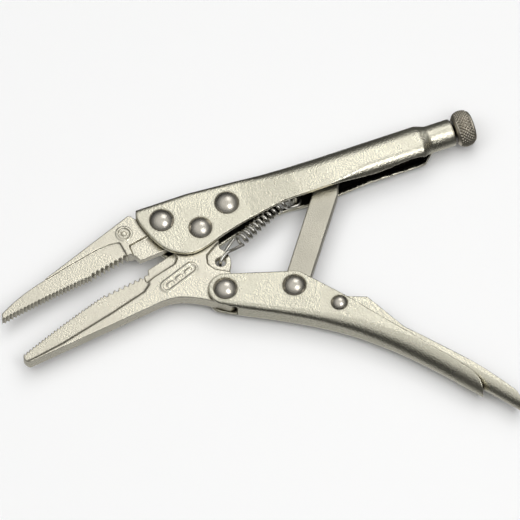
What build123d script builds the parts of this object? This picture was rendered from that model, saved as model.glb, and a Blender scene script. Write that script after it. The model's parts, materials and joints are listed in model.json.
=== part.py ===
"""Long-nose locking pliers, 9 in size, shown with the jaws open.

The tool lies on its side.  X runs along the adjusting screw towards its knob, Y points up
across the handles and Z through the thickness.  The origin is the middle of the flat end of
the jaw pivot rivet, so z = 0 is the surface that the tool lies on.
"""
from build123d import *
from math import asin, atan2, cos, degrees, hypot, pi, radians, sin, sqrt
import os

os.makedirs("parts", exist_ok=True)

# ------------------------------------------------------------ driving dimensions, mm
mid_z = 8.4  # middle plane of the tool above the surface it lies on
sheet = 2.0  # steel sheet of both handles
lever_sheet = 1.6  # thinner sheet of the release lever
front_half = 5.3  # half the outer width of the handles where they clasp the jaws
jaw_half = 3.1  # half the thickness of the forged jaws
link_half = 3.0  # half the thickness of the toggle link
side_play = 0.06  # running clearance round a rivet, on the radius
press_play = 0.02  # rivet shank in a hole that doesn't turn on it, on the radius

jaw_pivot = (0.0, 0.0)
front_jaw_seat = (-14.5, 9.2)
rear_jaw_seat = (14.9, 7.4)
handle_pivot = (-0.3, -31.7)
link_pivot = (28.2, -40.7)
lever_pivot = (43.3, -55.9)

screw_y = 8.3  # height of the screw's axis above the jaw pivot
link_length = 61.0  # link pivot to the middle of the end that meets the screw
closing = 11.0  # degrees that the lower jaw turns from open until the teeth meet

# jaws
nose_x, nose_y = -95.4, -11.3  # first tooth of the upper jaw
coarse_x, coarse_y = -52.0, -4.9  # where the fine teeth give way to the coarse ones
heel_x, heel_y = -34.0, -1.0  # last coarse tooth
grip_bow = 0.5  # how far the toothed line bows up between nose and coarse teeth
fine_pitch, fine_depth = 1.75, 1.0
coarse_pitch, coarse_depth = 2.4, 1.7
bite_gap = 0.15  # left between the two rows of teeth when the jaws are shut
flat_depth = 0.7  # ground flats along the noses
cutter_depth = 1.3  # wire cutter pockets
boss_radius = 8.0  # round boss of the lower jaw in the upper jaw's arch
arch_play = 0.35

# handles
crown_radius = 7.55  # rounded back of the fixed handle
grip_half = 7.6
slot_bottom = -0.9  # lowest line of the fixed handle's curled-in walls
neck_radius = 6.05
neck_start, neck_end = 108.5, 119.7
lower_half = 7.25

# rivets
shank = 3.2
small_shank = 2.3
head_radius, head_height = 5.2, 3.0
small_head_radius, small_head_height = 3.85, 2.3

# screw and knob
thread_radius = 3.8
knob_radius = 8.2
knob_start, knob_end = 120.4, 128.9
spigot_radius = 2.5

# spring
wire = 1.25
coil_radius = 2.45  # to the middle of the wire
coil_pitch = 2.62
coil_turns = 10
coil_start = (14.2, -9.7)
coil_slope = 22.0  # degrees from X
lug_hole = (2.9, -17.1)
lug_hole_radius = 2.3
lug_half = 1.9
tab_x, tab_y = 44.4, 2.5  # where the spring's rear loop hooks on
loop_radius = 2.5


def turned(point, angle, about=jaw_pivot):
    """A point of the middle plane turned about another, in degrees."""
    x, y = point[0] - about[0], point[1] - about[1]
    c, s = cos(radians(angle)), sin(radians(angle))
    return about[0] + x * c - y * s, about[1] + x * s + y * c


def on_circle(center, radius, angle):
    return center[0] + radius * cos(radians(angle)), center[1] + radius * sin(radians(angle))


def arc_about(center, radius, first, last):
    """Arc of a circle from one angle to another, in degrees, either way round."""
    middle = (first + last) / 2
    ends = [on_circle(center, radius, a) for a in (first, middle, last)]
    return ThreePointArc(*ends)


def tooth_row(start, end, bow, pitch, depth):
    """Zigzag of saw teeth whose crests lie on a line bowed up by bow between its ends."""
    (x0, y0), (x1, y1) = start, end
    count = round(hypot(x1 - x0, y1 - y0) / pitch)
    points = []
    for tooth in range(count):
        for share, cut in ((tooth, 0), (tooth + 0.4, depth)):
            t = share / count
            bowed = 4 * bow * t * (1 - t)
            points.append((x0 + t * (x1 - x0), y0 + t * (y1 - y0) + bowed + cut))
    return points


def pocket(outline, corner, floor, flare):
    """Cut a pocket with flared walls in both faces of a jaw, down to floor from the middle."""
    for side in (1, -1):
        with BuildSketch(Plane.XY.offset(mid_z + side * floor)) as bottom:
            with BuildLine():
                FilletPolyline(*outline, radius=corner, close=True)
            make_face()
        depth = jaw_half - floor + 0.5
        extrude(bottom.sketch, depth, dir=(0, 0, side), taper=-flare, mode=Mode.SUBTRACT)


def pin_hole(point, radius):
    """Round hole along Z, through everything."""
    with Locations((point[0], point[1], mid_z)):
        Cylinder(radius, 40, mode=Mode.SUBTRACT)


def finished(builder, name):
    """Label one piece, write it and say how big it is."""
    builder.part.label = name
    export_step(builder.part, f"parts/{name}.step")
    size = builder.part.bounding_box().size
    print(f"{name}: {builder.part.volume:.0f} mm3, {size.X:.1f} x {size.Y:.1f} x {size.Z:.1f}")


# ------------------------------------------------------------ how the linkage closes
rest_link_angle = degrees(asin((screw_y - link_pivot[1]) / link_length))
shut_pivot = turned(handle_pivot, -closing)
arm = hypot(link_pivot[0] - handle_pivot[0], link_pivot[1] - handle_pivot[1])
rise = screw_y - shut_pivot[1]
shut_angle = degrees(asin(rise / (arm + link_length)))
rest_arm_angle = degrees(atan2(link_pivot[1] - handle_pivot[1], link_pivot[0] - handle_pivot[0]))
handle_travel = shut_angle - rest_arm_angle + closing
link_travel = shut_angle - rest_link_angle - (shut_angle - rest_arm_angle)
locked_x = shut_pivot[0] + (arm + link_length) * cos(radians(shut_angle))
link_end_radius = 3.2
screw_tip = locked_x + link_end_radius + 0.2
print(f"handle {handle_travel:.2f} deg, jaw {-closing / handle_travel:.5f} per degree,")
print(f"link {link_travel / handle_travel:.5f} per degree, link end at x {locked_x:.2f} when locked")

# ------------------------------------------------------------ upper jaw, forged
cutter_front = (-29.4, -4.3)
cutter_slope = 0.085
arch_radius = boss_radius + arch_play
arch_first = 197.0
arch_last = 38.0
seat_radius = 6.3
arch_start = on_circle(jaw_pivot, arch_radius, arch_first)
seat_start = on_circle(rear_jaw_seat, seat_radius, 225)
seat_end = on_circle(rear_jaw_seat, seat_radius, 60)

with BuildPart() as upper_jaw:
    with BuildSketch(Plane.XY.offset(mid_z)):
        with BuildLine():
            fine = tooth_row((nose_x, nose_y), (coarse_x, coarse_y), grip_bow, fine_pitch, fine_depth)
            coarse = tooth_row((coarse_x, coarse_y), (heel_x, heel_y), 0, coarse_pitch, coarse_depth)
            ledge = [(heel_x, heel_y), (-33.5, -0.4), (-30.7, -1.4)]
            Polyline(*fine, *coarse, *ledge, cutter_front, arch_start)
            arc_about(jaw_pivot, arch_radius, arch_first, arch_last)
            Line(on_circle(jaw_pivot, arch_radius, arch_last), seat_start)
            arc_about(rear_jaw_seat, seat_radius, 225 - 360, 60)
            Polyline(seat_end, (0, 14.8), (-24.8, 14.8), (-26.0, 16.9), (-27.2, 17.4), (-72, 0.7))
            ThreePointArc((-72, 0.7), (-84, -3.1), (-94.6, -8.2))
            Line((-94.6, -8.2), (nose_x, nose_y))
        make_face()
    extrude(amount=jaw_half, both=True)
    # ground flat along the nose, then the wire cutter's pocket behind it
    pocket(
        [(-100, -18), (-100, -2), (-76, 1.0), (-70, 0.6), (-60, 3.2), (-46, 6.3), (-40, 7.0),
         (-35.0, 6.4), (-33.9, -3.0), (-50, -12)],
        0.8, jaw_half - flat_depth, 20,
    )
    pocket([(-31.2, 3.4), (-12, 7.3), (-12, -8), (-31.0, -8)], 0.5, jaw_half - cutter_depth, 25)
    for side in (1, -1):
        with Locations((-31.7, 9.7, mid_z + side * jaw_half)):
            Cylinder(3.5, 0.5)
            Cylinder(2.7, 0.5, mode=Mode.SUBTRACT)
            Cylinder(1.0, 0.5)
    for seat in (front_jaw_seat, rear_jaw_seat):
        pin_hole(seat, shank + press_play)

# ------------------------------------------------------------ lower jaw, forged
shut_nose = (-96.3, nose_y - 0.18)
lower_nose = turned(shut_nose, closing)
lower_coarse = turned((coarse_x, coarse_y), closing)
lower_nose = (lower_nose[0], lower_nose[1] - bite_gap)
lower_coarse = (lower_coarse[0], lower_coarse[1] - bite_gap)
lower_heel = (-30.0, -11.9)
lower_cutter = turned((cutter_front[0], cutter_front[1] - bite_gap), closing)
boss_first = 209.5
boss_last = -42.0
boss_start = on_circle(jaw_pivot, boss_radius, boss_first)
foot_radius = 7.4
foot_first, foot_last = 45.0, -95.0

with BuildPart() as lower_jaw:
    with BuildSketch(Plane.XY.offset(mid_z)):
        with BuildLine():
            fine = tooth_row(lower_nose, lower_coarse, grip_bow, fine_pitch, -fine_depth)
            coarse = tooth_row(lower_coarse, lower_heel, 0, coarse_pitch, -coarse_depth)
            Polyline(*fine, *coarse, lower_heel, (-28.7, -12.4), lower_cutter, boss_start)
            arc_about(jaw_pivot, boss_radius, boss_first, boss_last)
            boss_end = on_circle(jaw_pivot, boss_radius, boss_last)
            foot_start = on_circle(handle_pivot, foot_radius, foot_first)
            Polyline(boss_end, (4.8, -10.8))
            Spline((4.8, -10.8), (7.5, -16.4), (5.0, -22.6))
            Line((5.0, -22.6), foot_start)
            arc_about(handle_pivot, foot_radius, foot_first, foot_last)
            foot_end = on_circle(handle_pivot, foot_radius, foot_last)
            Spline(foot_end, (-12, -31.3), (-27.5, -26.9), tangents=[(-1, 0.75), (-1, -0.08)])
            Line((-27.5, -26.9), (-91, -34.6))
            ThreePointArc((-91, -34.6), (-92.9, -32.6), lower_nose)
        make_face()
    extrude(amount=jaw_half, both=True)
    pocket(
        [(-98, -20), (-98, -34.2), (-88, -33.0), (-75, -30.6), (-50, -24.2), (-33.5, -19.4),
         (-30.4, -16.9), (-30.2, -8), (-50, -6)],
        0.8, jaw_half - flat_depth, 55,
    )
    pocket(
        [(-31, -16.2), (-27.4, -14.4), (-16.2, -11.3), (-14.6, -9.4), (-14.6, -2), (-29, -2)],
        0.8, jaw_half - cutter_depth, 25,
    )
    # thinned lug that the spring hooks through
    pocket(
        [(4.9, -8.6), (-1.6, -12.7), (-2.6, -16.6), (-0.6, -19.8), (5.2, -23.4), (12, -23.4), (12, -8.6)],
        1.2, lug_half, 25,
    )
    # raised oval plate with plain bars, and the holes
    for side in (1, -1):
        with BuildSketch(Plane.XY.offset(mid_z + side * jaw_half)):
            with Locations((-16.7, -18.6)):
                SlotOverall(19.2, 5.6, rotation=19.8)
                SlotOverall(17.6, 4.0, rotation=19.8, mode=Mode.SUBTRACT)
            with Locations(*[turned((-16.7 + step, -18.6), 19.8, (-16.7, -18.6)) for step in (-5, 0, 5)]):
                SlotOverall(3.4, 1.3, rotation=19.8)
        extrude(amount=0.3, dir=(0, 0, side))
    pin_hole(lug_hole, lug_hole_radius)
    pin_hole(jaw_pivot, shank + side_play)
    pin_hole(handle_pivot, shank + side_play)

# ------------------------------------------------------------ fixed handle, folded sheet
# stations along X: half width, crown height, crown corner radius
front_stations = [
    (-26, front_half, 18.4, 2.5),
    (0, front_half, 18.5, 2.5),
    (23, front_half, 16.95, 3.0),
    (34, 6.1, 16.35, 5.0),
    (46, 7.1, 16.1, 6.9),
    (60, grip_half, screw_y + grip_half, crown_radius),
]
# stations further back: half width, lip corner radius
back_stations = [(60, grip_half, 0.6), (68, grip_half, 2.4), (77, grip_half, 4.6), (104, grip_half, 4.6)]


def channel_section(x, half, crown, crown_corner, lip, lip_corner):
    """Closed four-sided section across the fixed handle at x, rounded at crown and lips."""
    with BuildSketch(Plane.YZ.offset(x)) as section:
        with BuildLine():
            FilletPolyline(
                (crown, mid_z - half), (crown, mid_z + half), (lip, mid_z + half), (lip, mid_z - half),
                radius=[crown_corner, crown_corner, lip_corner, lip_corner], close=True,
            )
        make_face()
    return section.sketch


def front_sections(inset):
    return [
        channel_section(x, half - inset, crown - inset, max(corner - inset, 0.8), -16 - inset, 0.8)
        for x, half, crown, corner in front_stations
    ]


def back_sections(inset):
    top = screw_y + grip_half
    rows = [
        channel_section(x, half - inset, top - inset, crown_radius - inset, slot_bottom + inset,
                        max(lip - inset, 0.4))
        for x, half, lip in back_stations
    ]
    end = neck_radius if inset == 0 else thread_radius + side_play
    round_end = channel_section(neck_start, end, screw_y + end, end - 0.05, screw_y - end, end - 0.05)
    return rows + [round_end]


with BuildPart() as fixed_handle:
    loft(front_sections(0), ruled=True)
    # side outline: rounded front lobe round the jaw pivot, then the lower edges of the walls
    with BuildSketch(Plane.XY):
        with BuildLine():
            Polyline((60, slot_bottom), (60, 30), (-23.3, 30), (-23.3, 18.0), (-24.4, 14.6))
            Spline(
                (-24.4, 14.6), (-22.3, 5.0), (-16.6, -5.5), (-7.0, -10.2), (3.5, -8.0), (20, -3.5),
                (36, -0.9), (60, slot_bottom),
                tangents=[(0.05, -1), (1, 0)],
            )
        make_face()
    extrude(amount=2 * mid_z, mode=Mode.INTERSECT)
    loft(back_sections(0), ruled=True)
    with Locations(Plane.YZ.offset(neck_start)):
        with Locations((screw_y, mid_z)):
            Cylinder(neck_radius, neck_end - neck_start, align=(Align.CENTER, Align.CENTER, Align.MIN))
    chamfer(fixed_handle.edges().sort_by(Axis.X)[-1], 0.5)
    # hollow it
    loft(front_sections(sheet), ruled=True, mode=Mode.SUBTRACT)
    loft(back_sections(sheet), ruled=True, mode=Mode.SUBTRACT)
    with Locations(Plane.YZ.offset(neck_start - 1)):
        with Locations((screw_y, mid_z)):
            Cylinder(thread_radius + side_play, 20, align=(Align.CENTER, Align.CENTER, Align.MIN),
                     mode=Mode.SUBTRACT)
    # slot between the curled-in walls, closed at the neck
    with BuildSketch(Plane.XZ.offset(6)):
        with BuildLine():
            Spline((58, mid_z + 5.6), (66, mid_z + 5.3), (78, mid_z + 3.4), (92, mid_z + 4.1),
                   (104, mid_z + 3.2), (107, mid_z))
            Spline((107, mid_z), (104, mid_z - 3.2), (92, mid_z - 4.1), (78, mid_z - 3.4),
                   (66, mid_z - 5.3), (58, mid_z - 5.6))
            Line((58, mid_z - 5.6), (58, mid_z + 5.6))
        make_face()
    extrude(amount=-8.5, mode=Mode.SUBTRACT)
    for seat in (front_jaw_seat, jaw_pivot, rear_jaw_seat):
        pin_hole(seat, shank + press_play)
    # spring tab lanced from the far wall and bent in, with the window it leaves
    with Locations((tab_x - 4.6, tab_y, mid_z - 6)):
        Box(7.0, 3.2, 6, mode=Mode.SUBTRACT)
    with Locations((tab_x, tab_y, mid_z + 0.4)):
        Box(1.6, 3.2, 5.6 + 0.4, align=(Align.CENTER, Align.CENTER, Align.MAX))

# ------------------------------------------------------------ lower handle, folded sheet
# lowest line of the web, and half the outer width along it
with BuildLine() as web_line:
    Spline((-12, -33.6), (0, -40.6), (20, -51.9), (46.2, -70.5), (65.9, -91.1), (90, -121.9))
web_stations = [
    (0.0, front_half, 2.2), (0.1, front_half, 2.2), (0.25, 5.4, 2.4), (0.4, 6.1, 3.6),
    (0.52, 6.7, 5.0), (0.68, 7.1, 6.6), (0.84, lower_half, 7.2), (1.0, lower_half, 7.2),
]


def across(line, share):
    """Plane square to a web line: local x points up into the channel, local y along Z."""
    wire_line = line.wires()[0]
    at, along = wire_line.position_at(share), wire_line.tangent_at(share)
    return Plane((at.X, at.Y, mid_z), x_dir=(-along.Y, along.X, 0), z_dir=(along.X, along.Y, 0))


def trough_section(line, share, half, corner, bottom, top):
    """Closed section across a trough at a share of its web line, rounded at the web."""
    with BuildSketch(across(line, share)) as section:
        with BuildLine():
            FilletPolyline(
                (bottom, -half), (bottom, half), (top, half), (top, -half),
                radius=[corner, corner, 0.3, 0.3], close=True,
            )
        make_face()
    return section.sketch


def sections_between(line, stations, inset, depth):
    """Trough sections at each station and at two even steps between neighbouring stations."""
    sections = []
    for first, second in zip(stations, stations[1:]):
        for step in (0, 1 / 3, 2 / 3):
            share, half, corner = (a + (b - a) * step for a, b in zip(first, second))
            sections.append(
                trough_section(line, share, half - inset, max(corner - inset, 0.7), inset, depth + inset)
            )
    share, half, corner = stations[-1]
    sections.append(trough_section(line, share, half - inset, corner - inset, inset, depth + inset))
    return sections


web_start = 1.8
ear_radius = 7.3
ear_first, ear_last = 250.0, 72.0
with BuildPart() as lower_handle:
    loft(sections_between(web_line, web_stations, 0, 26), ruled=True)
    # side outline: round ears at the jaw, shoulder past the link, slanted tail
    with BuildSketch(Plane.XY):
        with BuildLine():
            ear_end = on_circle(handle_pivot, ear_radius, ear_last)
            ear_start = on_circle(handle_pivot, ear_radius, ear_first)
            arc_about(handle_pivot, ear_radius, ear_first, ear_last)
            FilletPolyline(ear_end, (32.3, -34.6), (48.2, -54.9), (54.9, -64.6), radius=[7, 60])
            Spline((54.9, -64.6), (64.9, -78.2), (78.0, -96.8), (84.6, -106.2), (87.0, -112.6),
                   (86.0, -118.2), tangents=[(0.57, -0.82), (-0.5, -1)])
            Polyline((86.0, -118.2), (80, -125), (-2, -60), (0.6, -41.6), ear_start)
        make_face()
    extrude(amount=2 * mid_z, mode=Mode.INTERSECT)
    lower_body = lower_handle.part
    loft(sections_between(web_line, web_stations, sheet, 26), ruled=True, mode=Mode.SUBTRACT)
    # no web in front of the ears' root, so the jaw can swing between them
    with Locations((web_start, -40, mid_z)):
        Box(
            20, 40, 2 * (front_half - sheet), align=(Align.MAX, Align.CENTER, Align.CENTER),
            mode=Mode.SUBTRACT,
        )
    pin_hole(handle_pivot, shank + press_play)
    pin_hole(link_pivot, shank + press_play)
    pin_hole(lever_pivot, small_shank + press_play)

# ------------------------------------------------------------ release lever, folded sheet
with BuildLine() as lever_line:
    Spline((33, -56.4), (40, -60.4), (50, -68.2), (62, -81.6), (75, -97.2), (86, -111.4), (101, -131.6))
lever_stations = [
    (0.0, 3.85, 2.0), (0.12, 3.9, 2.0), (0.3, 4.35, 2.8), (0.5, 4.8, 4.2), (1.0, 4.95, 4.85),
]


nose_radius = 4.6
with BuildPart() as release_lever:
    loft(sections_between(lever_line, lever_stations, 0, 18), ruled=True)
    # side outline: nose round its rivet, hump that meets the link, long tail past the handle
    with BuildSketch(Plane.XY):
        with BuildLine():
            arc_about(lever_pivot, nose_radius, 225, 78)
            nose_top = on_circle(lever_pivot, nose_radius, 78)
            FilletPolyline(nose_top, (56.0, -56.3), (65.6, -75.6), (81.0, -94.2), radius=[1.2, 14])
            Spline((81.0, -94.2), (91, -107.3), (97.8, -118.2), (100.4, -124.2), (99.2, -129.4),
                   tangents=[(0.64, -0.77), (-0.6, -1)])
            nose_low = on_circle(lever_pivot, nose_radius, 225)
            Polyline((99.2, -129.4), (95, -135), (40, -75), nose_low)
        make_face()
    extrude(amount=2 * mid_z, mode=Mode.INTERSECT)
    loft(sections_between(lever_line, lever_stations, lever_sheet, 18), ruled=True, mode=Mode.SUBTRACT)
    pin_hole(lever_pivot, small_shank + side_play)

# ------------------------------------------------------------ toggle link, flat bar
link_width = 10.7
link_neck = 12.0  # the bar narrows over this length towards the screw
link_end = on_circle(link_pivot, link_length, rest_link_angle)


def along_link(distance, offset):
    """Point a distance along the link from its rivet, offset to its left."""
    base = on_circle(link_pivot, distance, rest_link_angle)
    return on_circle(base, offset, rest_link_angle + 90)


with BuildPart() as toggle_link:
    half_width = link_width / 2
    with BuildSketch(Plane.XY.offset(mid_z)):
        with BuildLine():
            arc_about(link_pivot, half_width, rest_link_angle + 90, rest_link_angle + 270)
            Polyline(
                along_link(0, -half_width), along_link(link_length - link_neck, -half_width),
                along_link(link_length, -link_end_radius),
            )
            arc_about(link_end, link_end_radius, rest_link_angle - 90, rest_link_angle + 90)
            Polyline(
                along_link(link_length, link_end_radius),
                along_link(link_length - link_neck, half_width), along_link(0, half_width),
            )
        make_face()
    extrude(amount=link_half, both=True)
    chamfer(toggle_link.edges().filter_by(lambda e: abs(e.center().Z - mid_z) > link_half - 0.01), 0.3)
    pin_hole(link_pivot, shank + side_play)

# ------------------------------------------------------------ rivets
head_rim = 0.35  # straight rim under the dome


def dome(outer, base, height):
    """Half outline of a domed rivet head standing on y = base, from its top to its rim."""
    ball = (outer ** 2 + height ** 2) / (2 * height)
    middle = asin(outer / ball) / 2
    crown = base + height
    return ThreePointArc((0, crown), (ball * sin(middle), crown - ball * (1 - cos(middle))), (outer, base))


def rivet(place, radius, head, height, seat_half, tail_radius, tail_height):
    """Rivet along Z: domed head towards +Z, shank, and a closing head with a flat end."""
    with BuildPart() as pin:
        with BuildSketch(Plane((place[0], place[1], mid_z), x_dir=(1, 0, 0), z_dir=(0, -1, 0))):
            with BuildLine():
                top = dome(head, seat_half + head_rim, height - head_rim)
                flat = tail_radius - 1.6
                Polyline(
                    top @ 1, (head, seat_half), (radius, seat_half), (radius, -seat_half),
                    (tail_radius, -seat_half), (tail_radius, -seat_half - 0.4 * tail_height),
                    (flat, -seat_half - tail_height), (0, -seat_half - tail_height), top @ 0,
                )
            make_face()
        revolve(axis=Axis((place[0], place[1], 0), (0, 0, 1)))
    return pin


front_tail = mid_z - front_half
front_jaw_rivet = rivet(front_jaw_seat, shank, head_radius + 0.15, head_height, front_half, 4.6, front_tail)
rear_jaw_rivet = rivet(rear_jaw_seat, shank, head_radius + 0.15, head_height, front_half, 4.6, front_tail)
jaw_pivot_rivet = rivet(jaw_pivot, shank, head_radius - 0.1, head_height, front_half, 4.6, front_tail)
handle_pivot_rivet = rivet(handle_pivot, shank, head_radius, head_height, front_half, 4.6, front_tail)

# the channel flares behind its ears, so the next two rivets' heads are seated on the slope
link_seat, lever_seat = 5.4, 5.95
link_rivet = rivet(link_pivot, shank, head_radius, head_height + 0.2, link_seat, 4.6, mid_z - link_seat)
lever_rivet = rivet(
    lever_pivot, small_shank, small_head_radius, small_head_height + 0.3, lever_seat, 3.2, 2.0,
)
seated = {}
for name, pin in (("link_rivet", link_rivet), ("release_rivet", lever_rivet)):
    with BuildPart() as seated[name]:
        add(pin.part)
        add(lower_body, mode=Mode.SUBTRACT)
        place = link_pivot if name == "link_rivet" else lever_pivot
        radius = shank if name == "link_rivet" else small_shank
        with Locations((place[0], place[1], mid_z)):
            Cylinder(radius, 2 * front_half + 3)

# ------------------------------------------------------------ adjusting screw and knob
screw_axis = Axis((0, screw_y, mid_z), (1, 0, 0))
side_plane = Plane((0, screw_y, mid_z), x_dir=(1, 0, 0), z_dir=(0, 0, 1))
with BuildPart() as adjusting_screw:
    with BuildSketch(side_plane):
        with BuildLine():
            Polyline(
                (screw_tip, 0), (screw_tip, thread_radius - 1.2), (screw_tip + 1.2, thread_radius),
                (knob_start, thread_radius), (knob_start, spigot_radius),
                (knob_end - 2.5, spigot_radius), (knob_end - 2.5, 0), close=True,
            )
        make_face()
    revolve(axis=screw_axis)

with BuildPart() as adjusting_knob:
    bore = spigot_radius + side_play
    with BuildSketch(side_plane):
        with BuildLine():
            Polyline(
                (knob_end, 0), (knob_end - 2.4, 0), (knob_end - 2.4, bore), (knob_start + 0.1, bore),
                (knob_start + 0.1, 5.4),
            )
            Spline(
                (knob_start + 0.1, 5.4), (knob_start + 1.0, 7.3), (knob_start + 2.6, 8.1),
                (knob_start + 4.3, knob_radius), (knob_end - 1.5, 7.9), (knob_end - 0.3, 6.9),
                (knob_end, 5.8),
            )
            Line((knob_end, 5.8), (knob_end, 0))
        make_face()
    revolve(axis=screw_axis)

# ------------------------------------------------------------ return spring
coil_direction = Vector(cos(radians(coil_slope)), sin(radians(coil_slope)), 0)
coil_base = Vector(coil_start[0], coil_start[1], mid_z)
hook_spread = 3.0  # the hook's wire passes this far beside the lug's middle
hook_x, hook_y = lug_hole
loop_z = mid_z - 0.8
with BuildPart() as return_spring:
    with BuildLine():
        coil = Helix(
            coil_pitch, coil_pitch * coil_turns, coil_radius, center=coil_base, direction=coil_direction
        )
    with BuildSketch(Plane(coil @ 0, z_dir=coil % 0)):
        Circle(wire / 2)
    sweep(path=coil, is_frenet=True)
    # front hook: down the far side of the lug, through its hole and back on the near side
    with BuildLine():
        hook = Spline(
            coil @ 0, (10.6, -9.8, mid_z - 2.0), (hook_x + 3.0, hook_y + 3.9, mid_z - hook_spread),
            (hook_x + 0.5, hook_y + 1.2, mid_z - hook_spread), (hook_x - 0.1, hook_y - 0.2, mid_z),
            (hook_x + 1.3, hook_y + 0.9, mid_z + hook_spread),
            (hook_x + 5.1, hook_y + 2.7, mid_z + hook_spread), (11.2, -13.0, mid_z + 1.6),
            tangents=[-(coil % 0), (1, 0.4, -0.6)],
        )
    with BuildSketch(Plane(hook @ 0, z_dir=hook % 0)):
        Circle(wire / 2)
    sweep(path=hook)
    # rear loop round the tab
    with BuildLine():
        rear = Spline(
            coil @ 1, (39.6, 2.6, mid_z + 1.2), (tab_x - 1.8, tab_y + 1.9, loop_z + 0.1),
            (tab_x + 0.5 * loop_radius, tab_y + 0.87 * loop_radius, loop_z),
            (tab_x + loop_radius, tab_y, loop_z), (tab_x, tab_y - loop_radius, loop_z),
            (tab_x - 1.9, tab_y - 1.6, loop_z),
            tangents=[coil % 1, (-0.6, 0.8, 0)],
        )
    with BuildSketch(Plane(rear @ 0, z_dir=rear % 0)):
        Circle(wire / 2)
    sweep(path=rear)

for name, piece in (
    ("upper_jaw", upper_jaw),
    ("lower_jaw", lower_jaw),
    ("fixed_handle", fixed_handle),
    ("lower_handle", lower_handle),
    ("release_lever", release_lever),
    ("toggle_link", toggle_link),
    ("front_jaw_rivet", front_jaw_rivet),
    ("rear_jaw_rivet", rear_jaw_rivet),
    ("jaw_pivot_rivet", jaw_pivot_rivet),
    ("handle_pivot_rivet", handle_pivot_rivet),
    ("link_rivet", seated["link_rivet"]),
    ("release_rivet", seated["release_rivet"]),
    ("adjusting_screw", adjusting_screw),
    ("adjusting_knob", adjusting_knob),
    ("return_spring", return_spring),
):
    finished(piece, name)
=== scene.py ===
# %% [markdown]
# Long-nose locking pliers, lying open on a pale table.
# The tool is an assembly of pressed sheet, forged jaws, a flat link, rivets, a screw with its
# knob and a wire spring.  Every piece here rides on the rigid body that it belongs to, so the
# same scene is right at every pose.  Lengths are written in millimetres and multiplied by MM,
# because Blender works in metres.

import json
from math import asin, cos, pi, radians, sin

import bmesh
import bpy
from mathutils import Matrix, Vector
from mathutils.bvhtree import BVHTree

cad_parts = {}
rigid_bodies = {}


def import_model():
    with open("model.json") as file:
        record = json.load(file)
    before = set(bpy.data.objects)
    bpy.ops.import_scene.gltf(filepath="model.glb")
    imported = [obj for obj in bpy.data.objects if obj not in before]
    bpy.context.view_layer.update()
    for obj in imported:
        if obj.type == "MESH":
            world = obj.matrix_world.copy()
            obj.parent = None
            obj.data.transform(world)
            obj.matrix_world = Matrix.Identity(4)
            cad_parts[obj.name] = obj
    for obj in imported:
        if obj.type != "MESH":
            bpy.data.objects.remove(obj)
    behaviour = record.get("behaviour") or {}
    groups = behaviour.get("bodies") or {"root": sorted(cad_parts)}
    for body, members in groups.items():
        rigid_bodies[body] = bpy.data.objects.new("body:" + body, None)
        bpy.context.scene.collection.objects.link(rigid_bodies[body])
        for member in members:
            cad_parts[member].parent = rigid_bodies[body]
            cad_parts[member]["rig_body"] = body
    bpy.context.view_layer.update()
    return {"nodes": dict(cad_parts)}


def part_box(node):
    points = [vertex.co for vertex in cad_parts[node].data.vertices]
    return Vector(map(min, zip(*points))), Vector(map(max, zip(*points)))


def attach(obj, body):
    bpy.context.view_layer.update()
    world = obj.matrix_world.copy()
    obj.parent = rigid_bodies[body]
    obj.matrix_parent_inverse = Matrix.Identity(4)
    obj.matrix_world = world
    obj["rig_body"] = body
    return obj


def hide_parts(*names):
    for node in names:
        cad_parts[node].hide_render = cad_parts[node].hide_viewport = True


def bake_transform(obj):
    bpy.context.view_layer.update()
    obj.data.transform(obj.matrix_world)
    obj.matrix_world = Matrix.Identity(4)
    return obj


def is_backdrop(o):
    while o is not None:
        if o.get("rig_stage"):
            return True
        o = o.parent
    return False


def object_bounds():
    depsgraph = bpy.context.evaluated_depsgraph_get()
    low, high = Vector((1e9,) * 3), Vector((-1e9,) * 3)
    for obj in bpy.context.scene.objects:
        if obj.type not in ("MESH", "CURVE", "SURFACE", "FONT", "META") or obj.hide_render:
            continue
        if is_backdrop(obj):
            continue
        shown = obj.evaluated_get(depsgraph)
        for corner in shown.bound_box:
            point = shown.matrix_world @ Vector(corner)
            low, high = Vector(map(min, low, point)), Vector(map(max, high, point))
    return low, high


MM = 0.001
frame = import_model()


# %% [markdown]
# Finishes and repeated shapes are both built as node trees below.  Wiring nodes one by one is
# long to read, so three small helpers do it: one adds a node with its settings and wires, one
# fills a single socket, and one does arithmetic.

# %% Small helpers for node trees
def put(tree, kind, settings=None, **wires):
    """Add a node, set its properties, then fill or wire its sockets (spaces as underscores)."""
    node = tree.nodes.new(kind)
    for name, value in (settings or {}).items():
        setattr(node, name, value)
    for name, value in wires.items():
        key = int(name[1:]) if name[0] == "s" and name[1:].isdigit() else name.replace("_", " ")
        fill(tree, node.inputs[key], value)
    return node


def fill(tree, socket, value):
    """Wire a socket if value is another socket, else set it."""
    if isinstance(value, bpy.types.NodeSocket):
        tree.links.new(value, socket)
    else:
        socket.default_value = value


def sums(tree, operation, *values):
    """One arithmetic node; gives its output socket."""
    node = tree.nodes.new("ShaderNodeMath")
    node.operation = operation
    for socket, value in zip(node.inputs, values):
        fill(tree, socket, value)
    return node.outputs[0]


# %% [markdown]
# The camera stands in front of the tool and well above it, far away behind a long lens, so
# that parallel edges stay nearly parallel.  A short lens close by would show the same pieces,
# but would swell the near handle.  Its aim is given from the jaw pivot along the view's own
# right and up directions.

# %% Camera
AZIMUTH, ELEVATION = radians(-20.5), radians(62)
back = Vector((sin(AZIMUTH) * cos(ELEVATION), -cos(AZIMUTH) * cos(ELEVATION), sin(ELEVATION)))
right = Vector((cos(AZIMUTH), sin(AZIMUTH), 0))
up = back.cross(right)
mid_z = 8.4 * MM  # middle plane of the tool
aim = Vector((0, 0, mid_z)) + 25.76 * MM * right - 11.67 * MM * up
view_width = 225.1 * MM
view_distance = 8.0

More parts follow.
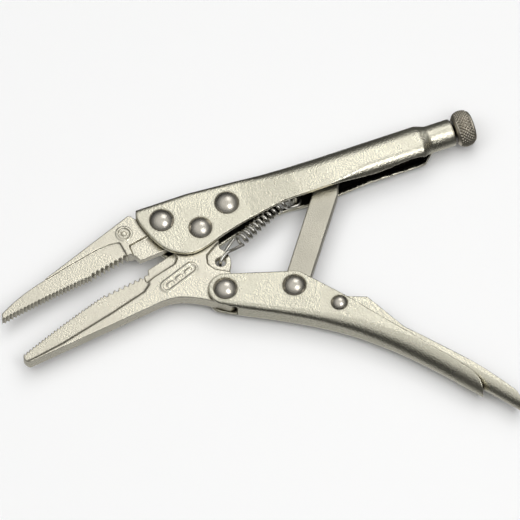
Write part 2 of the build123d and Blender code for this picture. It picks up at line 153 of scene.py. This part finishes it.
lens = bpy.data.cameras.new("studio_camera")
lens.sensor_width = 36
lens.lens = lens.sensor_width * view_distance / view_width
lens.clip_start, lens.clip_end = 0.1, 40
camera = bpy.data.objects.new("studio_camera", lens)
camera.location = aim + back * view_distance
camera.rotation_mode = "QUATERNION"
camera.rotation_quaternion = back.to_track_quat("Z", "Y")
bpy.context.scene.collection.objects.link(camera)
bpy.context.scene.camera = camera
print("lens mm:", round(lens.lens, 1))

# %% [markdown]
# Bright metal has hardly any colour of its own: it shows what is around it.  In a
# studio it is lit with big white cloths, with dark gaps left between them, which draw the
# dark lines along rounded edges.  Here the sky does the work of the cloths.  It is bright
# overhead and dark towards the horizon.  Two soft lamps add the shine on rivets and rims, and
# two more only light the table: the metal doesn't mirror them.

# %% Sky, brighter with height
bpy.context.scene.view_settings.view_transform = "Standard"
world = bpy.data.worlds.new("studio")
bpy.context.scene.world = world
world.use_nodes = True
sky = world.node_tree
sky.nodes.clear()
direction = put(sky, "ShaderNodeTexCoord").outputs["Generated"]
height = put(sky, "ShaderNodeSeparateXYZ", Vector=direction).outputs["Z"]
shade = put(sky, "ShaderNodeValToRGB")
share = put(sky, "ShaderNodeMapRange", Value=height, From_Min=-1.0)
fill(sky, shade.inputs["Fac"], share.outputs["Result"])
ramp = shade.color_ramp
grey_at_height = [(-1.0, 0.50), (-0.86, 0.42), (-0.62, 0.08), (0.10, 0.03), (0.45, 0.18), (0.87, 0.60)]
while len(ramp.elements) < len(grey_at_height):
    ramp.elements.new(0.5)
for stop, (level, grey) in zip(ramp.elements, grey_at_height):
    stop.position, stop.color = (level + 1) / 2, (grey, grey, grey * 0.99, 1)
glow = put(sky, "ShaderNodeBackground", Color=shade.outputs["Color"], Strength=1.0)
wall = put(sky, "ShaderNodeBackground", Color=(0.92, 0.92, 0.92, 1), Strength=1.0)
seen = put(sky, "ShaderNodeLightPath").outputs["Is Camera Ray"]
both = put(sky, "ShaderNodeMixShader", Fac=seen, s1=glow.outputs[0], s2=wall.outputs[0])
put(sky, "ShaderNodeOutputWorld", Surface=both.outputs[0])
print("sky greys from below to overhead:", [grey for _, grey in grey_at_height])


# %% Soft lamps and the table
def soft_lamp(name, place, size, power):
    """Square lamp aimed at the middle of the tool."""
    lamp = bpy.data.lights.new(name, "AREA")
    lamp.size, lamp.energy = size, power
    holder = bpy.data.objects.new(name, lamp)
    holder.location = place
    holder.rotation_mode = "QUATERNION"
    holder.rotation_quaternion = (Vector(place) - aim).to_track_quat("Z", "Y")
    bpy.context.scene.collection.objects.link(holder)


soft_lamp("softbox", (0.40, 0.44, 0.80), 0.50, 0.8)
soft_lamp("left_lamp", (-0.65, 0.05, 1.0), 0.50, 0.9)
soft_lamp("front_lamp", (0.30, -0.60, 0.95), 0.50, 2.2)
soft_lamp("table_lamp", (0, 0, 1.5), 2.0, 14.0)
for name in ("table_lamp", "left_lamp"):
    bpy.data.objects[name].visible_glossy = False  # they light the table and aren't mirrored

table_half = 3.0
bpy.ops.mesh.primitive_plane_add(size=2 * table_half, location=(0, 0, 0))
table = bpy.context.object
table.name = "table"
table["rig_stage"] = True
table.visible_glossy = False  # the metal mirrors the dim room instead, as with a raised glass table
matt = bpy.data.materials.new("pale_table")
matt.use_nodes = True
matt.node_tree.nodes["Principled BSDF"].inputs["Base Color"].default_value = (0.92, 0.92, 0.92, 1)
matt.node_tree.nodes["Principled BSDF"].inputs["Roughness"].default_value = 0.9
table.data.materials.append(matt)
print("lamps:", len(bpy.data.lights), "table half width m:", table_half)


# %% [markdown]
# The handles and jaws are nickel-plated steel that was tumbled before plating.  Close up, the
# skin is a fine, slightly pitted grain over long shallow waves left by the press.  A painted
# texture would need an unwrapped surface, so two noises in the piece's own space are used:
# a fine one for the grain and a broad one for the waves.  The same recipe, with other numbers,
# gives the polished rivets, the drawn wire and the dull knob.

# %% Recipe for a plated finish
PATCH_MM, WAVE_MM, CREVICE_MM = 14, 6, 1.5  # size of polish patches, press waves and corners
NOISE_TILT = (0.6, 0.5, 0.3)  # radians; noise fades on planes square to its axes, so it is turned
# the first colour is painted shade for creases, corners and rims where pieces touch
# the second colour is painted shade for the inner walls of the folded channels
PAINTED_SHADE, CHANNEL_SHADE = (0.10, 0.085, 0.06, 1), (0.03, 0.028, 0.025, 1)
SHADED, OPEN = 0.40, 0.97  # share of open sky at which the painted shade is full, and at which it ends


def plated(name, colour, roughness, grain_mm, grain_depth, wave_depth=0.0, mottling=0.12, hollow=0.0):
    """Metal whose grain, waves and patchy polish come from noise in the piece's own space."""
    finish = bpy.data.materials.new(name)
    finish.use_nodes = True
    tree = finish.node_tree
    shader = tree.nodes["Principled BSDF"]
    shader.inputs["Metallic"].default_value = 1.0
    place = put(tree, "ShaderNodeTexCoord").outputs
    own = put(tree, "ShaderNodeMapping", Vector=place["Object"], Rotation=NOISE_TILT).outputs["Vector"]
    grain = put(tree, "ShaderNodeTexNoise", Vector=own, Scale=1 / (grain_mm * MM), Detail=3.0)
    patch = put(tree, "ShaderNodeTexNoise", Vector=own, Scale=1 / (PATCH_MM * MM), Detail=4.0)
    mix = put(tree, "ShaderNodeMix", {"data_type": "RGBA"})
    fill(tree, mix.inputs["Factor"], grain.outputs["Fac"])
    fill(tree, mix.inputs["A"], (*[c * (1 - mottling) for c in colour], 1))
    fill(tree, mix.inputs["B"], (*[min(1, c * (1 + mottling)) for c in colour], 1))
    colour_out = mix.outputs["Result"]
    if hollow:  # inner walls get painted shade, mixed towards near black
        inner = put(tree, "ShaderNodeAttribute", {"attribute_name": "hollow"})
        inside_shade = put(tree, "ShaderNodeMix", {"data_type": "RGBA"})
        fill(tree, inside_shade.inputs["Factor"], sums(tree, "MULTIPLY", inner.outputs["Fac"], hollow))
        fill(tree, inside_shade.inputs["A"], colour_out)
        fill(tree, inside_shade.inputs["B"], CHANNEL_SHADE)
        colour_out = inside_shade.outputs["Result"]
    # painted shade: ambient occlusion darkens the colour in creases, corners and where pieces touch
    crevice = put(tree, "ShaderNodeAmbientOcclusion", {"samples": 8}, Distance=CREVICE_MM * MM)
    unshaded = put(tree, "ShaderNodeMapRange", Value=crevice.outputs["AO"])
    fill(tree, unshaded.inputs["From Min"], SHADED)
    fill(tree, unshaded.inputs["From Max"], OPEN)
    painted_shade = put(tree, "ShaderNodeMix", {"data_type": "RGBA"})
    fill(tree, painted_shade.inputs["Factor"], unshaded.outputs["Result"])
    fill(tree, painted_shade.inputs["A"], PAINTED_SHADE)
    fill(tree, painted_shade.inputs["B"], colour_out)
    fill(tree, shader.inputs["Base Color"], painted_shade.outputs["Result"])
    low, high = roughness
    uneven = put(tree, "ShaderNodeMapRange", Value=patch.outputs["Fac"], To_Min=low, To_Max=high)
    fill(tree, uneven.inputs["From Min"], 0.3)
    fill(tree, uneven.inputs["From Max"], 0.7)
    fill(tree, shader.inputs["Roughness"], uneven.outputs["Result"])
    # the grain is set weaker on flat faces, where it shows most
    facing = put(tree, "ShaderNodeSeparateXYZ", Vector=place["Normal"])
    flatness = sums(tree, "ABSOLUTE", facing.outputs["Z"])
    bend = put(
        tree, "ShaderNodeMapRange", Value=flatness, From_Min=0.3, From_Max=0.98, To_Min=1.0, To_Max=0.75
    )
    pits = put(tree, "ShaderNodeBump", Height=grain.outputs["Fac"], Strength=bend.outputs["Result"])
    pits.inputs["Distance"].default_value = grain_depth * MM
    if wave_depth:
        broad = put(tree, "ShaderNodeTexNoise", Vector=own, Scale=1 / (WAVE_MM * MM), Detail=2.0)
        waves = put(tree, "ShaderNodeBump", Height=broad.outputs["Fac"], Strength=1.0)
        waves.inputs["Distance"].default_value = wave_depth * MM
        fill(tree, pits.inputs["Normal"], waves.outputs["Normal"])
    fill(tree, shader.inputs["Normal"], pits.outputs["Normal"])
    return finish


sheet_nickel = plated("sheet_nickel", (0.89, 0.84, 0.69), (0.22, 0.32), 0.75, 0.26, 0.05, 0.16, 0.9)
jaw_nickel = plated("jaw_nickel", (0.89, 0.84, 0.70), (0.22, 0.32), 0.70, 0.18, 0.04, 0.14)
link_nickel = plated("link_nickel", (0.64, 0.61, 0.51), (0.26, 0.38), 0.55, 0.20, 0.06, 0.14)
rivet_nickel = plated("rivet_nickel", (0.86, 0.81, 0.71), (0.22, 0.30), 0.6, 0.06, 0.0, 0.08)
screw_finish = plated("screw_finish", (0.60, 0.56, 0.50), (0.30, 0.45), 0.4, 0.01)
knob_finish = plated("knob_finish", (0.80, 0.73, 0.60), (0.26, 0.40), 0.4, 0.03, 0.0, 0.25)
wire_finish = plated("wire_finish", (0.76, 0.74, 0.68), (0.20, 0.30), 0.4, 0.01)
print("finishes:", len(bpy.data.materials))


# %% [markdown]
# Pressed sheet and forgings have no sharp edges: the die leaves a small round everywhere, and
# tumbling softens it again.  A bevel on each edge is the usual way, but it trips over the
# many short edges that boolean cuts leave.  Here a copy of the piece is rebuilt from small
# cubes instead (a voxel remesh) and relaxed a little, which rounds every edge alike.

# %% Rounded copy of a piece
def settled(shape, steps):
    """Run modifiers on an object and keep only the plain mesh that they give."""
    for kind, values in steps:
        step = shape.modifiers.new(kind.lower(), kind)
        for name, value in values.items():
            setattr(step, name, value)
    view = bpy.context.evaluated_depsgraph_get()
    mesh = bpy.data.meshes.new_from_object(shape.evaluated_get(view))
    shape.modifiers.clear()
    shape.data = mesh
    return shape


# this mark places the painted shade on the inner walls of the channels
def mark_hollow(shape, reach_mm):
    """Store at each point how far it faces the piece's own opposite wall: 1 inside, 0 outside."""
    work = bmesh.new()
    work.from_mesh(shape.data)
    walls = BVHTree.FromBMesh(work)
    work.free()
    inside = []
    for point in shape.data.vertices:
        start = point.co + point.normal * 0.3 * MM
        hit = walls.ray_cast(start, point.normal, reach_mm * MM)
        inside.append(0.0 if hit[0] is None else 1.0)
    mark = shape.data.attributes.new("hollow", "FLOAT", "POINT")
    mark.data.foreach_set("value", inside)
    print(shape.name, "inner share:", round(sum(inside) / len(inside), 2))


def rounded_copy(node, piece_name, grid_mm, relax, finish, hollow_reach=0, most_faces=199000):
    """Softened copy of a CAD piece that stands for it on the same body."""
    source = frame["nodes"][node]
    copy = bpy.data.objects.new(piece_name, source.data.copy())
    bpy.context.scene.collection.objects.link(copy)
    work = bmesh.new()
    work.from_mesh(copy.data)
    bmesh.ops.remove_doubles(work, verts=work.verts, dist=0.001 * MM)
    work.to_mesh(copy.data)
    work.free()
    sharp = copy.data
    triangles = most_faces + 1
    while triangles > most_faces:  # a coarser grid keeps flat faces flat, which thinning would not
        copy.data = sharp.copy()
        settled(copy, [
            ("REMESH", {"mode": "VOXEL", "voxel_size": grid_mm * MM}),
            ("SMOOTH", {"factor": 0.5, "iterations": relax}),
        ])
        triangles = sum(len(p.vertices) - 2 for p in copy.data.polygons)
        grid_mm *= 1.01 * max(1.0, triangles / most_faces) ** 0.5
    copy.data.shade_smooth()
    if hollow_reach:
        mark_hollow(copy, hollow_reach)
    copy.data.materials.clear()
    copy.data.materials.append(finish)
    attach(copy, source["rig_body"])
    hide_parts(node)
    print(piece_name, "triangles", triangles)
    return copy


# %% Handles and release lever, folded from sheet
rounded_copy("fixed_handle", "fixed_handle_sheet", 0.36, 3, sheet_nickel, 14)
rounded_copy("lower_handle", "lower_handle_sheet", 0.31, 3, sheet_nickel, 14)
rounded_copy("release_lever", "release_lever_sheet", 0.25, 3, sheet_nickel, 14)

# %% Jaws and link, forged and sheared
rounded_copy("upper_jaw", "upper_jaw_forging", 0.235, 1, jaw_nickel)
rounded_copy("lower_jaw", "lower_jaw_forging", 0.25, 1, jaw_nickel)
rounded_copy("toggle_link", "toggle_link_bar", 0.25, 2, link_nickel)


# %% [markdown]
# A rivet, a screw and a knob are all turned or pressed about an axis, so each is one outline
# carried round a circle.  The Spin tool does it by hand; a Geometry Nodes tree does it for
# every such piece with one recipe: Curve to Mesh sweeps the outline along a small circle.

# %% Tree that turns an outline about Z
def new_tree(name, inputs):
    """Empty geometry tree with named inputs; gives the tree, its input and output nodes."""
    tree = bpy.data.node_groups.new(name, "GeometryNodeTree")
    tree.interface.new_socket("Geometry", in_out="INPUT", socket_type="NodeSocketGeometry")
    tree.interface.new_socket("Geometry", in_out="OUTPUT", socket_type="NodeSocketGeometry")
    for label, kind, value in inputs:
        socket = tree.interface.new_socket(label, in_out="INPUT", socket_type=kind)
        if value is not None:
            socket.default_value = value
    return tree, tree.nodes.new("NodeGroupInput").outputs, tree.nodes.new("NodeGroupOutput")


def close_tree(tree, shape, finish, outlet):
    """Realize Instances and Set Material, then out."""
    real = put(tree, "GeometryNodeRealizeInstances", Geometry=shape)
    coated = put(tree, "GeometryNodeSetMaterial", Geometry=real.outputs[0], Material=finish)
    fill(tree, outlet.inputs["Geometry"], coated.outputs[0])


FLOAT, WHOLE, MATERIAL = "NodeSocketFloat", "NodeSocketInt", "NodeSocketMaterial"
turning, given, outlet = new_tree("turned_piece", [
    ("Facets", WHOLE, 64), ("Core Radius", FLOAT, 0.001), ("Finish", MATERIAL, None),
])
ring = put(
    turning, "GeometryNodeCurvePrimitiveCircle", Resolution=given["Facets"], Radius=given["Core Radius"]
)
swept = put(turning, "GeometryNodeCurveToMesh", Curve=ring.outputs["Curve"])
fill(turning, swept.inputs["Profile Curve"], given["Geometry"])
joined = put(turning, "GeometryNodeMergeByDistance", Geometry=swept.outputs[0], Distance=0.002 * MM)
smooth = put(turning, "GeometryNodeSetShadeSmooth", Geometry=joined.outputs[0])
close_tree(turning, smooth.outputs[0], given["Finish"], outlet)


# %% Run a tree on an outline and keep the mesh
def outline_curve(name, points):
    """Poly curve through points given in mm."""
    line = bpy.data.curves.new(name, "CURVE")
    line.dimensions = "3D"
    strand = line.splines.new("POLY")
    strand.points.add(len(points) - 1)
    for knot, (x, y, z) in zip(strand.points, points):
        knot.co = (x * MM, y * MM, z * MM, 1)
    item = bpy.data.objects.new(name, line)
    bpy.context.scene.collection.objects.link(item)
    return item


def grown(name, base, tree, values):
    """Evaluate a geometry tree on a base object and keep the result as a plain mesh object."""
    step = base.modifiers.new("nodes", "NODES")
    step.node_group = tree
    for socket in tree.interface.items_tree:
        if getattr(socket, "in_out", "") == "INPUT" and socket.name in values:
            step[socket.identifier] = values[socket.name]
    view = bpy.context.evaluated_depsgraph_get()
    mesh = bpy.data.meshes.new_from_object(base.evaluated_get(view))
    bpy.data.objects.remove(base)
    item = bpy.data.objects.new(name, mesh)
    bpy.context.scene.collection.objects.link(item)
    return item


def outward(item):
    """Make every face point away from the solid."""
    work = bmesh.new()
    work.from_mesh(item.data)
    bmesh.ops.recalc_face_normals(work, faces=work.faces)
    work.to_mesh(item.data)
    work.free()
    return item


# %% [markdown]
# Six rivets hold the tool together.  Each has a low polished dome on the upper side, a shank,
# and a closing head with a flat end underneath, which the tool lies on.  All six come from
# one outline, whose numbers are read from the box of the rivet's own CAD piece.

# %% Outline of a rivet and the six rivets
def dome_points(outer, base, height, steps=12):
    """Points of a domed head from the middle of its crown to its rim."""
    ball = (outer ** 2 + height ** 2) / (2 * height)
    spread = asin(outer / ball)
    tilts = [spread * i / steps for i in range(steps + 1)]
    return [(ball * sin(t), base + height - ball * (1 - cos(t))) for t in tilts]


def turned_piece(name, outline, finish, facets=64):
    """Mesh of revolution about Z from (radius, height) points in mm."""
    core = 1.0
    base = outline_curve(name, [(r - core, -z, 0) for r, z in outline])
    values = {"Facets": facets, "Core Radius": core * MM, "Finish": finish}
    return grown(name, base, turning, values)


def set_down(item, turn, place_mm):
    """Turn and shift the mesh itself, so that its object stays at the origin."""
    item.data.transform(Matrix.Translation(Vector(place_mm) * MM) @ turn.to_4x4())
    return outward(item)


mid = mid_z / MM
seats = {"link_rivet": 5.4, "release_rivet": 5.75}  # half the width of the walls they clamp
front_seat = 5.3
rim, soft = 0.45, 0.12  # height of the head's edge, and how much its corner is rounded
press = 0.1  # the heads bed this far into the walls
shank_radius, tail_radius, small_tail_radius = 2.3, 4.6, 3.2
for node in [n for n in frame["nodes"] if n.endswith("_rivet")]:
    low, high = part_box(node)
    centre, radius = (low + high) / 2 / MM, (high.x - low.x) / 2 / MM
    seat = seats.get(node, front_seat)
    crown, foot = high.z / MM - mid, low.z / MM - mid
    tail = small_tail_radius if node == "release_rivet" else tail_radius
    outline = dome_points(radius - soft, seat + rim, crown - seat - rim)
    outline += [(radius, seat + rim - soft), (radius, seat + press), (radius - press, seat - press)]
    outline += [(shank_radius, seat - press), (shank_radius, -seat + press), (tail, -seat + press)]
    outline += [(tail, (foot - seat) / 2), (tail - 0.3, foot + 0.7), (tail - 1.4, foot), (0, foot)]
    rivet = turned_piece(node + "_turned", outline, rivet_nickel)
    set_down(rivet, Matrix.Identity(3), (centre.x, centre.y, mid))
    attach(rivet, frame["nodes"][node]["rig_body"])
    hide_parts(node)
    print(rivet.name, "radius", round(radius, 2), "faces", len(rivet.data.polygons))


# %% [markdown]
# The adjusting screw is a rod with a real helical thread.  A bump map would leave its outline
# smooth, and cutting a groove needs a slow boolean.  Winding a ridge on a thinner core is
# quick and gives true crests: a Spiral curve is the path and a small triangle its section.

# %% Thread tree
threading, given, outlet = new_tree("wound_thread", [
    ("Length", FLOAT, 0.04), ("Pitch", FLOAT, 0.00125), ("Root Radius", FLOAT, 0.003),
    ("Ridge", FLOAT, 0.0006), ("Finish", MATERIAL, None),
])
turns = sums(threading, "DIVIDE", given["Length"], given["Pitch"])
helix = put(
    threading, "GeometryNodeCurveSpiral", Resolution=32, Rotations=turns, Height=given["Length"],
    Start_Radius=given["Root Radius"], End_Radius=given["Root Radius"],
)
tooth = put(threading, "GeometryNodeCurvePrimitiveCircle", Resolution=3, Radius=given["Ridge"])
ridge = put(threading, "GeometryNodeCurveToMesh", Curve=helix.outputs[0], Fill_Caps=True)
fill(threading, ridge.inputs["Profile Curve"], tooth.outputs["Curve"])
both = put(threading, "GeometryNodeJoinGeometry")
threading.links.new(given["Geometry"], both.inputs[0])
threading.links.new(ridge.outputs[0], both.inputs[0])
close_tree(threading, both.outputs[0], given["Finish"], outlet)

# %% Adjusting screw
ALONG_X = Matrix.Rotation(radians(90), 3, "Y")  # turns a piece made along +Z onto +X
low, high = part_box("adjusting_screw")
axis_y, tip, rod_end = (low.y + high.y) / 2 / MM, low.x / MM, high.x / MM
crest_radius, thread_depth, pitch, spigot = (high.y - low.y) / 2 / MM, 0.75, 1.25, 2.5
root_radius = crest_radius - thread_depth
run_out = 1.8  # plain length left between the thread and the knob
knob_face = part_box("adjusting_knob")[0].x / MM
rod = [
    (0, 0), (root_radius - 0.6, 0), (root_radius, 0.8), (root_radius, knob_face - tip - 0.2),
    (spigot, knob_face - tip), (spigot, rod_end - tip), (0, rod_end - tip),
]
screw = outward(turned_piece("adjusting_screw_core", rod, screw_finish))
screw = grown("adjusting_screw_threaded", screw, threading, {
    "Length": (knob_face - tip - run_out) * MM, "Pitch": pitch * MM, "Root Radius": root_radius * MM,
    "Ridge": thread_depth * MM, "Finish": screw_finish,
})
set_down(screw, ALONG_X, (tip, axis_y, mid))
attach(screw, "screw")
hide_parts("adjusting_screw")
print("thread turns:", round((knob_face - tip - run_out) / pitch, 1), "faces", len(screw.data.polygons))

# %% [markdown]
# The knob is a short barrel with a coarse diamond knurl, pressed in by two rollers whose ribs
# slant opposite ways.  The same crossing of two slanted wave patterns is worked out here for
# every point of a fine barrel: where both waves are high a diamond stands, and where either
# is low a groove runs.  Instanced pyramids would not follow the barrel's bulge so easily.

# %% Knurl tree
knurling, given, outlet = new_tree("diamond_knurl", [
    ("Diamonds Around", FLOAT, 30.0), ("Diamond Length", FLOAT, 0.0016), ("Depth", FLOAT, 0.0005),
    ("From", FLOAT, 0.001), ("To", FLOAT, 0.007), ("Finish", MATERIAL, None),
])
spot = put(knurling, "ShaderNodeSeparateXYZ", Vector=put(knurling, "GeometryNodeInputPosition").outputs[0])
x, y, z = spot.outputs
angle = sums(knurling, "DIVIDE", sums(knurling, "ARCTAN2", y, x), 2 * pi)
around = sums(knurling, "MULTIPLY", angle, given["Diamonds Around"])
along = sums(knurling, "DIVIDE", z, given["Diamond Length"])
waves = []
for crossing in ("ADD", "SUBTRACT"):
    slant = sums(knurling, "FRACT", sums(knurling, crossing, around, along))
    waves.append(sums(knurling, "ABSOLUTE", sums(knurling, "SUBTRACT", slant, 0.5)))
groove = sums(knurling, "MULTIPLY", sums(knurling, "MAXIMUM", *waves), 2.0)
inside = sums(
    knurling, "MULTIPLY", sums(knurling, "GREATER_THAN", z, given["From"]),
    sums(knurling, "LESS_THAN", z, given["To"]),
)
sink = sums(knurling, "MULTIPLY", sums(knurling, "MULTIPLY", groove, inside), given["Depth"])
squares = sums(
    knurling, "ADD", sums(knurling, "MULTIPLY", x, x), sums(knurling, "MULTIPLY", y, y)
)
reach = sums(knurling, "MAXIMUM", sums(knurling, "SQRT", squares), 1e-5)
share = sums(knurling, "DIVIDE", sums(knurling, "MULTIPLY", sink, -1.0), reach)
inward = put(
    knurling, "ShaderNodeCombineXYZ",
    X=sums(knurling, "MULTIPLY", x, share), Y=sums(knurling, "MULTIPLY", y, share),
)
pressed = put(knurling, "GeometryNodeSetPosition", Geometry=given["Geometry"], Offset=inward.outputs[0])
close_tree(knurling, pressed.outputs[0], given["Finish"], outlet)

# %% Adjusting knob
low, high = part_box("adjusting_knob")
knob_length, knob_radius = (high.x - low.x) / MM, (high.y - low.y) / 2 / MM
band_edge = 6.9  # radius where the knurled band begins and ends
bulge = knob_radius - band_edge
knurl_start, knurl_end = 1.3, knob_length - 0.9
shape = [(0, 0.1), (5.0, 0.1), (5.3, 0.0), (5.6, 0.15), (band_edge, knurl_start - 0.2)]
for step in range(31):
    t = step / 30
    shape.append((band_edge + bulge * (4 * t * (1 - t)) ** 0.6, knurl_start + (knurl_end - knurl_start) * t))
shape += [(6.6, knob_length - 0.4), (6.0, knob_length - 0.05), (5.6, knob_length), (0, knob_length)]
knob = outward(turned_piece("adjusting_knob_blank", shape, knob_finish, 240))
knob = grown("adjusting_knob_knurled", knob, knurling, {
    "Diamonds Around": 30.0, "Diamond Length": 1.7 * MM, "Depth": 0.75 * MM,
    "From": (knurl_start + 0.1) * MM, "To": (knurl_end - 0.1) * MM, "Finish": knob_finish,
})
set_down(knob, ALONG_X, (knob_face, axis_y, mid))
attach(knob, "knob")
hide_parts("adjusting_knob")
print("knob", round(knob_length, 1), "x", round(2 * knob_radius, 1), "faces", len(knob.data.polygons))

# %% [markdown]
# The return spring is one wire: a hook through the lower jaw's lug, ten close turns and a
# loop round the tab inside the fixed handle.  A mesh coil from a Screw modifier would leave
# the hooks as separate bits, so the whole route is worked out first, and a tree sweeps the
# wire along it.

# %% Wire tree
wiring, given, outlet = new_tree("drawn_wire", [
    ("Wire Radius", FLOAT, 0.0006), ("Wire Facets", WHOLE, 12), ("Finish", MATERIAL, None),
])
section = put(
    wiring, "GeometryNodeCurvePrimitiveCircle", Resolution=given["Wire Facets"], Radius=given["Wire Radius"]
)
drawn = put(wiring, "GeometryNodeCurveToMesh", Curve=given["Geometry"], Fill_Caps=True)
fill(wiring, drawn.inputs["Profile Curve"], section.outputs["Curve"])
shiny = put(wiring, "GeometryNodeSetShadeSmooth", Geometry=drawn.outputs[0])
close_tree(wiring, shiny.outputs[0], given["Finish"], outlet)


# %% Route of the spring wire
def eased(knots, steps=8):
    """Smooth route through points (Catmull-Rom)."""
    knots = [Vector(k) for k in knots]
    padded = [2 * knots[0] - knots[1], *knots, 2 * knots[-1] - knots[-2]]
    route = []
    for a, b, c, d in zip(padded, padded[1:], padded[2:], padded[3:]):
        for step in range(steps):
            t = step / steps
            route.append(0.5 * (
                2 * b + (c - a) * t + (2 * a - 5 * b + 4 * c - d) * t ** 2 + (3 * b - a - 3 * c + d) * t ** 3
            ))
    return route + [knots[-1]]


coil_start, coil_slope = Vector((14.2, -9.6, 0)), radians(25)
coil_turns, coil_pitch, coil_radius, wire_radius = 10, 2.62, 2.5, 0.68
lug_hole, tab = (2.9, -17.1), (44.4, 2.5)
forward = Vector((cos(coil_slope), sin(coil_slope), 0))
above = Vector((-forward.y, forward.x, 0))
facets_per_turn = 28
coil = []
for step in range(coil_turns * facets_per_turn + 1):
    turn = step / facets_per_turn
    around = 2 * pi * turn + pi
    centre = coil_start + forward * coil_pitch * turn
    coil.append(centre + coil_radius * (above * cos(around) + Vector((0, 0, 1)) * sin(around)))
hook = eased([
    (12.6, -7.6, -0.4), (9.2, -9.6, -1.9), (5.6, -12.6, -2.6), (3.2, -15.4, -2.6), (2.6, -17.3, -1.4),
    (2.6, -17.7, 0.4), (2.9, -17.3, 2.2), (4.6, -15.9, 3.0), (7.6, -14.4, 3.0), (11.0, -13.2, 1.4), coil[0],
])
loop_radius = 2.45
loop_depth = 3.83  # close to the far wall, so that the shut link passes over the loop
loop = [
    (tab[0] + loop_radius * cos(radians(a)), tab[1] + loop_radius * sin(radians(a)), -loop_depth)
    for a in range(-90, 170, 20)
]
tail = eased([coil[-1], coil[-1] + Vector((0.8, 0.4, -2.2)), coil[-1] + Vector((2.4, 0.8, -3.6)), *loop])
route = hook[:-1] + coil + tail[1:]
spring = outline_curve("return_spring_path", [(p[0], p[1], p[2] + mid) for p in route])
spring = grown("return_spring_wire", spring, wiring, {
    "Wire Radius": wire_radius * MM, "Wire Facets": 12, "Finish": wire_finish,
})
outward(spring)
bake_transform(spring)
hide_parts("return_spring")
spans = zip(map(Vector, route), map(Vector, route[1:]))
print("spring wire, mm:", round(sum((b - a).length for a, b in spans)))

# %% [markdown]
# Last, the bounds of the finished pieces are measured.  Rounded edges
# make a piece a little smaller, which is harmless; anything larger would stick out of its body.

# %% Size of the finished model
low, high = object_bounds()
